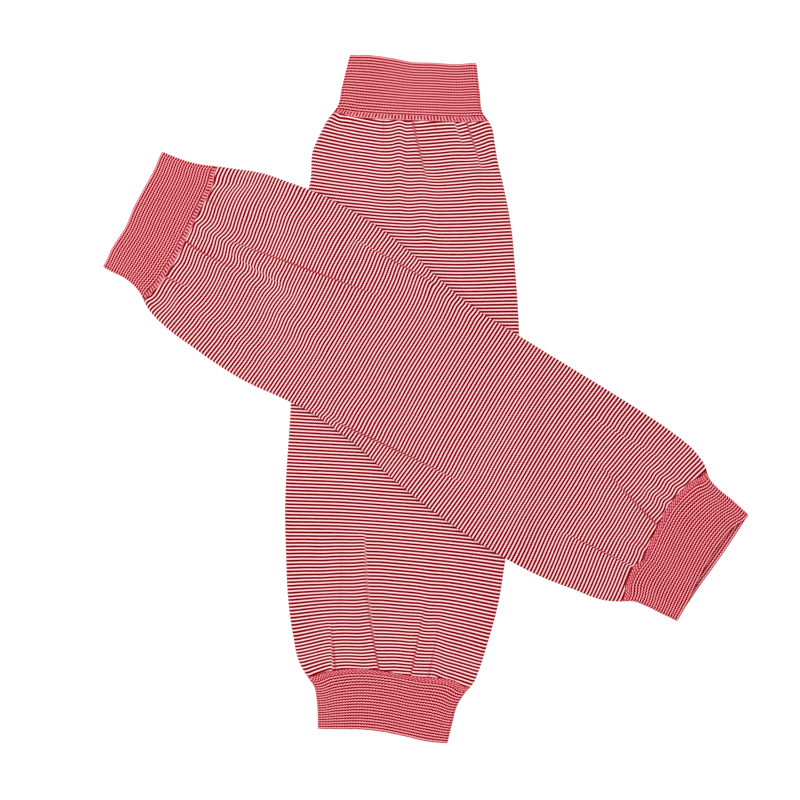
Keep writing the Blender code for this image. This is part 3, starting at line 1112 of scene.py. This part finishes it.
LOWER_SEAMS = (
    Seam(-1.00, -1.5, 32.9, 35.4, 392.1, 395.6, 425.0, 425.0),
    Seam(-0.70, -1.8, 34.0, 37.6, 388.3, 391.3, 424.7, 424.7),
    Seam(-0.35, -0.6, 34.5, 38.2, 385.9, 388.8, 424.3, 424.3),
    Seam(0.00, 1.3, 34.5, 38.2, 387.4, 389.9, 425.3, 425.3),
    Seam(0.35, 1.2, 34.5, 38.0, 389.6, 392.6, 427.5, 427.5),
    Seam(0.70, 1.5, 34.3, 37.8, 390.2, 394.0, 430.0, 430.0),
    Seam(1.00, 0.4, 33.5, 36.7, 394.6, 398.1, 430.7, 430.7),
)
UPPER_SEAMS = (
    Seam(-1.00, 2.0, 33.5, 35.7, 392.1, 395.5, 428.7, 428.7),
    Seam(-0.70, 0.8, 35.2, 38.6, 388.3, 391.5, 428.3, 428.9),
    Seam(-0.48, 1.0, 35.2, 38.7, 388.0, 391.6, 427.3, 429.3),
    Seam(-0.42, 1.1, 35.2, 38.8, 390.0, 392.0, 427.0, 429.4),
    Seam(-0.30, 1.0, 35.1, 38.7, 389.0, 391.8, 426.5, 429.7),
    Seam(0.00, -0.9, 34.0, 37.4, 387.0, 390.2, 425.8, 430.6),
    Seam(0.35, -1.8, 32.5, 35.6, 386.1, 389.3, 425.9, 431.4),
    Seam(0.70, -2.5, 31.0, 34.7, 389.6, 392.8, 427.9, 431.9),
    Seam(1.00, -4.0, 28.1, 30.7, 394.6, 397.9, 432.0, 432.0),
)

LOWER_COURSES = (
    Courses(44.0, 1.1, -3.2, -3.4, -2.1, 1.6),
    Courses(70.0, 0.8, -2.4, -3.3, -1.8, 0.9),
    Courses(95.0, 0.6, -1.4, -2.5, -0.9, 1.9),
    Courses(126.0, 0.6, -0.6, -1.1, -0.8, 2.1),
    Courses(158.0, 1.0, 0.0, -0.5, -0.6, 0.9),
    Courses(200.0, 1.6, 1.0, 0.4, 0.0, 0.0),
    Courses(247.0, 1.7, 1.5, 1.3, 0.6, 0.0),
    Courses(272.0, 1.3, 1.5, 0.6, 0.0, -1.0),
    Courses(297.0, 0.4, 1.3, 0.7, -0.9, -2.8),
    Courses(310.0, -0.2, 1.5, 0.7, -1.1, -3.7),
    Courses(335.0, -1.6, 1.3, 0.1, -1.6, -5.6),
    Courses(348.0, -2.2, 1.6, 0.0, -1.9, -6.6),
    Courses(360.0, -2.8, 1.8, 0.3, -1.9, -7.3),
    Courses(373.0, -3.5, 2.0, 0.6, -1.8, -8.2),
    Courses(384.0, -2.8, 3.0, 0.9, -1.3, -7.7),
)
UPPER_COURSES = (
    Courses(44.0, 0.0, -3.2, -3.2, -0.9, 1.1),
    Courses(70.0, 0.6, -3.4, -1.8, 0.3, 4.3),
    Courses(95.0, 0.1, -2.9, -1.3, 1.0, 3.1),
    Courses(120.0, 0.0, -1.9, -0.3, 1.9, 2.7),
    Courses(158.0, -0.1, -0.4, 0.2, 0.8, 1.6),
    Courses(183.0, 1.2, -0.4, 0.7, 0.5, 2.5),
    Courses(209.0, 0.6, -0.6, 0.6, 0.9, 1.5),
    Courses(234.0, 1.7, -0.4, 0.4, 0.8, 0.2),
    Courses(259.0, 1.1, -1.1, -0.3, 0.2, -0.9),
    Courses(285.0, -0.1, -0.8, 0.4, 0.2, -1.8),
    Courses(310.0, -1.5, -0.3, 0.0, -0.6, -3.0),
    Courses(335.0, -3.5, -0.6, -0.1, -1.1, -4.7),
    Courses(360.0, -3.4, -0.2, 0.4, -1.3, -6.3),
    Courses(373.0, -3.3, -0.3, 0.6, -1.4, -6.6),
    Courses(386.0, -2.4, -0.1, 0.6, -1.2, -6.6),
)

LOWER_FOLDS = (
    Fold(38.0, 1.3, 80.0, 12.8, 0.0, Grip.FIRST, 5.0, 1.3, Steep.RIGHT),
    Fold(38.0, -7.0, 100.0, -4.0, 0.0, Grip.FIRST, 4.5, 0.7),
    Fold(38.0, 35.5, 67.0, 46.5, 0.0, Grip.FIRST, 4.5, 1.0, Steep.RIGHT),
    Fold(38.0, 14.0, 50.0, 20.0, 0.0, Grip.FIRST, 3.2, 0.5, Steep.RIGHT),
    Fold(38.0, 25.0, 54.0, 31.0, 0.0, Grip.FIRST, 4.0, 0.5),
    Fold(38.0, -17.0, 64.0, -16.5, 0.0, Grip.FIRST, 4.0, 0.4, Steep.LEFT),
    Fold(36.0, -43.0, 52.0, -24.0, 2.0, Grip.FIRST, 4.0, 0.5, Steep.LEFT),
    Fold(74.0, 8.5, 122.0, 13.0, 0.0, Grip.NEITHER, 5.0, 0.6),
    Fold(316.0, -17.0, 388.0, -4.4, -1.8, Grip.LAST, 5.0, 1.0, Steep.RIGHT),
    Fold(358.0, -36.6, 387.0, -32.6, 0.0, Grip.LAST, 4.2, 1.0, Steep.RIGHT),
    Fold(342.0, 22.2, 390.0, 15.0, 0.0, Grip.LAST, 4.6, 0.9, Steep.LEFT),
    Fold(354.0, 32.0, 390.0, 26.2, 0.0, Grip.LAST, 4.0, 0.7, Steep.LEFT),
    Fold(366.0, 41.0, 391.0, 37.0, 0.0, Grip.LAST, 3.8, 0.5),
    Fold(366.0, -47.0, 389.0, -42.5, 0.0, Grip.LAST, 4.0, 0.5),
    Fold(303.0, -31.6, 356.0, -31.6, 0.0, Grip.NEITHER, 6.0, 0.3, Steep.RIGHT),
)
UPPER_FOLDS = (
    Fold(38.0, -26.0, 53.0, -24.0, 0.0, Grip.FIRST, 3.8, 0.9, Steep.RIGHT),
    Fold(37.0, 0.4, 80.0, 3.4, -1.6, Grip.FIRST, 4.8, 1.2, Steep.RIGHT),
    Fold(36.0, 12.0, 98.0, 12.8, 0.0, Grip.FIRST, 4.0, 0.8),
    Fold(58.0, 14.4, 164.0, 35.6, 0.0, Grip.NEITHER, 4.6, 1.2, Steep.RIGHT),
    Fold(34.0, 29.5, 50.0, 31.0, 0.0, Grip.FIRST, 3.8, 0.7, Steep.RIGHT),
    Fold(33.0, 40.0, 60.0, 50.0, 0.0, Grip.FIRST, 4.5, 0.5),
    Fold(38.0, -37.0, 55.0, -34.0, 0.0, Grip.FIRST, 4.0, 0.5),
    Fold(78.0, 8.5, 110.0, 11.0, 0.0, Grip.NEITHER, 6.0, 0.5),
    Fold(98.0, -7.5, 146.0, -9.0, 0.0, Grip.NEITHER, 5.0, 0.5),
    Fold(136.0, 57.6, 190.0, 60.0, 0.0, Grip.NEITHER, 4.0, 0.8, Steep.RIGHT),
    Fold(158.0, -50.0, 264.0, -38.0, 0.6, Grip.NEITHER, 5.0, 1.0, Steep.LEFT),
    Fold(340.0, -31.0, 386.0, -26.8, 0.0, Grip.NEITHER, 4.6, 0.8, Steep.LEFT),
    Fold(334.0, 17.6, 388.0, 3.2, -0.4, Grip.LAST, 4.8, 1.4, Steep.LEFT),
    Fold(362.0, 33.4, 388.0, 31.6, 0.0, Grip.LAST, 3.8, 0.6),
    Fold(370.0, -13.0, 388.0, -11.3, 0.0, Grip.LAST, 3.4, 0.5, Steep.RIGHT),
    Fold(370.0, 19.0, 387.0, 18.4, 0.0, Grip.LAST, 3.4, 0.5),
    Fold(368.0, 44.0, 390.0, 40.0, 0.0, Grip.LAST, 4.0, 0.5),
)

LOWER_RIPPLES = (
    Ripple(38.0, 1.3, 76.0, 12.2, 0.0, Grip.FIRST, 0.3, -1.5, 11.0),
    Ripple(38.0, -7.0, 100.0, -4.4, 0.0, Grip.FIRST, 1.1, 1.1, 3.6),
    Ripple(38.0, -17.0, 104.0, -18.0, 0.0, Grip.FIRST, -0.6, -0.6, 7.0),
    Ripple(70.0, 7.8, 126.0, 13.4, 0.0, Grip.NEITHER, 0.9, 0.9, 6.0),
    Ripple(38.0, 36.0, 68.0, 46.6, 0.0, Grip.FIRST, -0.5, -1.9, 8.0),
    Ripple(38.0, 28.0, 52.0, 33.0, 0.0, Grip.FIRST, -0.2, -1.2, 5.0),
    Ripple(62.0, 42.0, 94.0, 44.0, 0.0, Grip.NEITHER, 0.6, 0.6, 8.0),
    Ripple(38.0, -2.8, 72.0, -2.2, 0.0, Grip.FIRST, -0.5, -0.5, 3.0),
    Ripple(40.0, 19.0, 86.0, 20.0, 0.0, Grip.NEITHER, -0.5, -0.5, 8.0),
    Ripple(44.0, 38.0, 68.0, 38.0, 0.0, Grip.NEITHER, -0.6, -0.6, 8.0),
    Ripple(36.0, -46.0, 47.0, -43.0, 0.0, Grip.FIRST, -0.9, -0.9, 5.0),
    Ripple(300.0, -17.7, 388.0, -4.8, -1.8, Grip.LAST, 2.1, -0.9, 6.5),
    Ripple(348.0, 22.0, 390.0, 15.4, 0.0, Grip.LAST, 0.4, -0.4, 5.0),
    Ripple(338.0, 19.5, 376.0, 18.5, 0.0, Grip.NEITHER, 0.5, 0.5, 4.5),
    Ripple(318.0, 25.5, 362.0, 23.5, 0.0, Grip.NEITHER, -0.5, -0.5, 6.5),
    Ripple(345.0, 31.0, 390.0, 29.5, 0.0, Grip.LAST, 0.9, 0.9, 4.5),
    Ripple(348.0, 10.0, 390.0, 7.0, 0.0, Grip.LAST, 0.5, 0.5, 7.0),
    Ripple(356.0, -37.0, 387.0, -34.5, 0.0, Grip.LAST, 1.2, 0.0, 12.0),
    Ripple(300.0, -44.0, 342.0, -43.0, 0.0, Grip.NEITHER, -0.55, -0.55, 9.0),
)
UPPER_RIPPLES = (
    Ripple(38.0, -39.0, 53.0, -38.0, 0.0, Grip.FIRST, -1.4, -1.4, 6.0),
    Ripple(38.0, -25.5, 55.0, -23.5, 0.0, Grip.FIRST, 0.3, -1.0, 6.0),
    Ripple(38.0, -12.5, 72.0, -11.5, 0.0, Grip.FIRST, -1.3, -1.3, 6.0),
    Ripple(40.0, -20.0, 82.0, -20.0, 0.0, Grip.NEITHER, -0.4, -0.4, 6.0),
    Ripple(46.0, -34.0, 132.0, -37.0, 0.0, Grip.NEITHER, 0.8, 0.8, 5.0),
    Ripple(58.0, 1.0, 96.0, 3.0, 0.0, Grip.NEITHER, 0.3, 0.3, 5.0),
    Ripple(60.0, 13.0, 90.0, 13.0, 0.0, Grip.NEITHER, -0.4, -0.4, 3.0),
    Ripple(56.0, 22.5, 90.0, 24.5, 0.0, Grip.NEITHER, -0.4, -0.4, 3.5),
    Ripple(40.0, 38.0, 62.0, 38.0, 0.0, Grip.NEITHER, 0.4, 0.4, 9.0),
    Ripple(62.0, 36.0, 96.0, 36.0, 0.0, Grip.NEITHER, -0.6, -0.6, 10.0),
    Ripple(38.0, 0.4, 66.0, 0.6, -1.2, Grip.FIRST, 0.3, -0.4, 4.0),
    Ripple(52.0, 3.2, 118.0, 5.8, 0.0, Grip.NEITHER, -1.8, -1.8, 4.5),
    Ripple(66.0, 8.2, 106.0, 8.6, 0.0, Grip.NEITHER, -0.4, 0.5, 4.0),
    Ripple(36.0, 12.6, 104.0, 13.4, 0.0, Grip.FIRST, 1.2, 1.2, 3.4),
    Ripple(36.0, 20.0, 96.0, 24.5, 0.0, Grip.FIRST, -1.2, -1.2, 6.5),
    Ripple(62.0, 15.4, 100.0, 23.0, 0.0, Grip.NEITHER, 0.6, -0.5, 4.0),
    Ripple(88.0, 20.4, 166.0, 36.0, 0.0, Grip.NEITHER, 0.2, -0.5, 5.0),
    Ripple(38.0, 42.5, 57.0, 53.0, 0.0, Grip.FIRST, -1.0, -1.0, 4.0),
    Ripple(44.0, 38.0, 124.0, 50.5, 2.0, Grip.NEITHER, 1.1, 1.1, 8.0),
    Ripple(96.0, -7.4, 152.0, -9.6, 0.0, Grip.NEITHER, 0.9, 0.9, 5.5),
    Ripple(128.0, 57.4, 188.0, 60.4, 0.0, Grip.NEITHER, 2.1, 0.8, 10.0),
    Ripple(176.0, 56.0, 232.0, 58.0, 0.0, Grip.NEITHER, 0.8, 0.8, 8.0),
    Ripple(156.0, -49.5, 268.0, -38.0, 0.4, Grip.NEITHER, 0.0, -1.5, 8.0),
    Ripple(152.0, 16.0, 188.0, 17.0, 0.0, Grip.NEITHER, -0.4, -0.4, 9.0),
    Ripple(232.0, -19.0, 290.0, -18.0, 0.0, Grip.NEITHER, 0.4, 0.4, 9.0),
    Ripple(336.0, -31.4, 388.0, -26.6, 0.0, Grip.LAST, 1.2, -0.4, 12.0),
    Ripple(328.0, -2.5, 372.0, -2.5, 0.0, Grip.NEITHER, -0.4, -0.4, 4.0),
    Ripple(304.0, -36.0, 352.0, -36.0, 0.0, Grip.NEITHER, 0.6, 0.6, 12.0),
    Ripple(332.0, -11.0, 382.0, -10.5, 0.0, Grip.NEITHER, -0.8, -0.8, 6.5),
    Ripple(334.0, 17.6, 388.0, 3.2, -0.4, Grip.LAST, 0.0, 1.2, 5.5),
    Ripple(308.0, 14.0, 352.0, 15.0, 0.0, Grip.NEITHER, 0.5, 0.5, 9.0),
    Ripple(310.0, 40.0, 370.0, 40.6, 0.0, Grip.NEITHER, -0.4, -0.9, 6.0),
    Ripple(358.0, 31.0, 388.0, 29.8, 0.0, Grip.LAST, 1.0, 1.0, 3.2),
    Ripple(364.0, 37.4, 388.0, 36.0, 0.0, Grip.LAST, -0.3, -0.3, 3.0),
    Ripple(366.0, 19.0, 388.0, 18.6, 0.0, Grip.LAST, 1.5, 1.5, 3.2),
    Ripple(368.0, -15.5, 387.0, -15.0, 0.0, Grip.LAST, 0.7, 0.7, 3.0),
)

LOWER = Sleeve(
    "lower", (-8.1, 214.4), -92.44, LOWER_OUTLINE, LOWER_SEAMS, LOWER_COURSES, LOWER_FOLDS, LOWER_RIPPLES
)
UPPER = Sleeve(
    "upper", (-184.5, 119.5), -31.60, UPPER_OUTLINE, UPPER_SEAMS, UPPER_COURSES, UPPER_FOLDS, UPPER_RIPPLES
)

RIBBED_SECTION = Section(front=6 * RIBS, back=3 * RIBS)
PLAIN_SECTION = Section(front=260, back=30)


def knitted_tubes() -> tuple[KnittedTube, ...]:
    """The five pieces of a sleeve, from its start to its finish."""
    ribbed = dict(section=RIBBED_SECTION, wales=RIBS, edge_wales=EDGE_RIBS)
    cuff = dict(slot=Slot.RIBBED, rows=24, wall=CUFF_WALL, course_count=CUFF_COURSES, rib_rise=RIB_RISE)
    cuff.update(ribbed)
    band = dict(rows=5, **ribbed)
    return (
        KnittedTube("start_cuff", first=Line.CUFF_START, last=Line.LADDER_START, **cuff),
        KnittedTube(
            "ladder_band",
            Slot.LADDER,
            Line.LADDER_START,
            Line.BODY_START,
            wall=LADDER_WALL,
            course_count=2,
            rib_rise=RIB_RISE,
            folds=(0.0, 0.2, HELD),
            **band,
        ),
        KnittedTube(
            "body",
            Slot.STRIPED,
            Line.BODY_START,
            Line.BODY_END,
            section=PLAIN_SECTION,
            rows=150,
            wall=BODY_WALL,
            wales=BODY_WALES,
            edge_wales=EDGE_WALES,
            folds=(HELD, 1.0, HELD),
        ),
        KnittedTube(
            "dense_band",
            Slot.DENSE,
            Line.BODY_END,
            Line.DENSE_END,
            wall=DENSE_WALL,
            course_count=3,
            folds=(HELD, 0.2, 0.0),
            **band,
        ),
        KnittedTube("finish_cuff", first=Line.DENSE_END, last=Line.CUFF_END, **cuff),
    )


# The darkest tone of each finish is painted shade, not a yarn colour.
FINISHES = {
    Slot.STRIPED: StripedKnit(
        "striped_knit_cloth",
        pale=(1.0, 0.88, 0.92),
        red=(0.96, 0.024, 0.045),
        deep=(0.12, 0.001, 0.003),
        pale_shows=(0.71, 0.93),
        deep_shows=(0.60, 0.36),
        ridges=2.0,
    ),
    Slot.RIBBED: RibbedKnit(
        "ribbed_cuff_cloth",
        pale=(1.0, 0.60, 0.67),
        red=(1.0, 0.03, 0.055),
        deep=(0.12, 0.001, 0.003),
        pale_shows=(0.68, 0.92),
        deep_shows=(0.58, 0.33),
        wobble=0.18,
        serration=0.0,
    ),
    Slot.LADDER: LadderKnit(
        "ladder_band_cloth",
        pale=(1.0, 0.36, 0.41),
        red=(0.70, 0.03, 0.06),
        deep=(0.18, 0.004, 0.010),
        pale_shows=(0.4, 0.05),
        deep_shows=(0.35, 0.9),
        deepest=0.9,
        wobble=0.7,
        serration=0.0,
    ),
    Slot.DENSE: DenseKnit(
        "dense_band_cloth",
        pale=(1.0, 0.54, 0.62),
        red=(0.74, 0.03, 0.06),
        deep=(0.15, 0.002, 0.006),
        pale_shows=(0.35, 0.95),
        deep_shows=(0.3, 0.1),
        deepest=0.7,
        wobble=0.5,
    ),
}


def main() -> None:
    """Builds the studio and the sleeves."""
    logging.basicConfig(level=logging.INFO, format="%(name)s: %(message)s")
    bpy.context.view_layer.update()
    Studio().build()
    ArmSleeves(CrossedPair(LOWER, UPPER), knitted_tubes(), FINISHES).build()


if __name__ == "__main__":
    main()
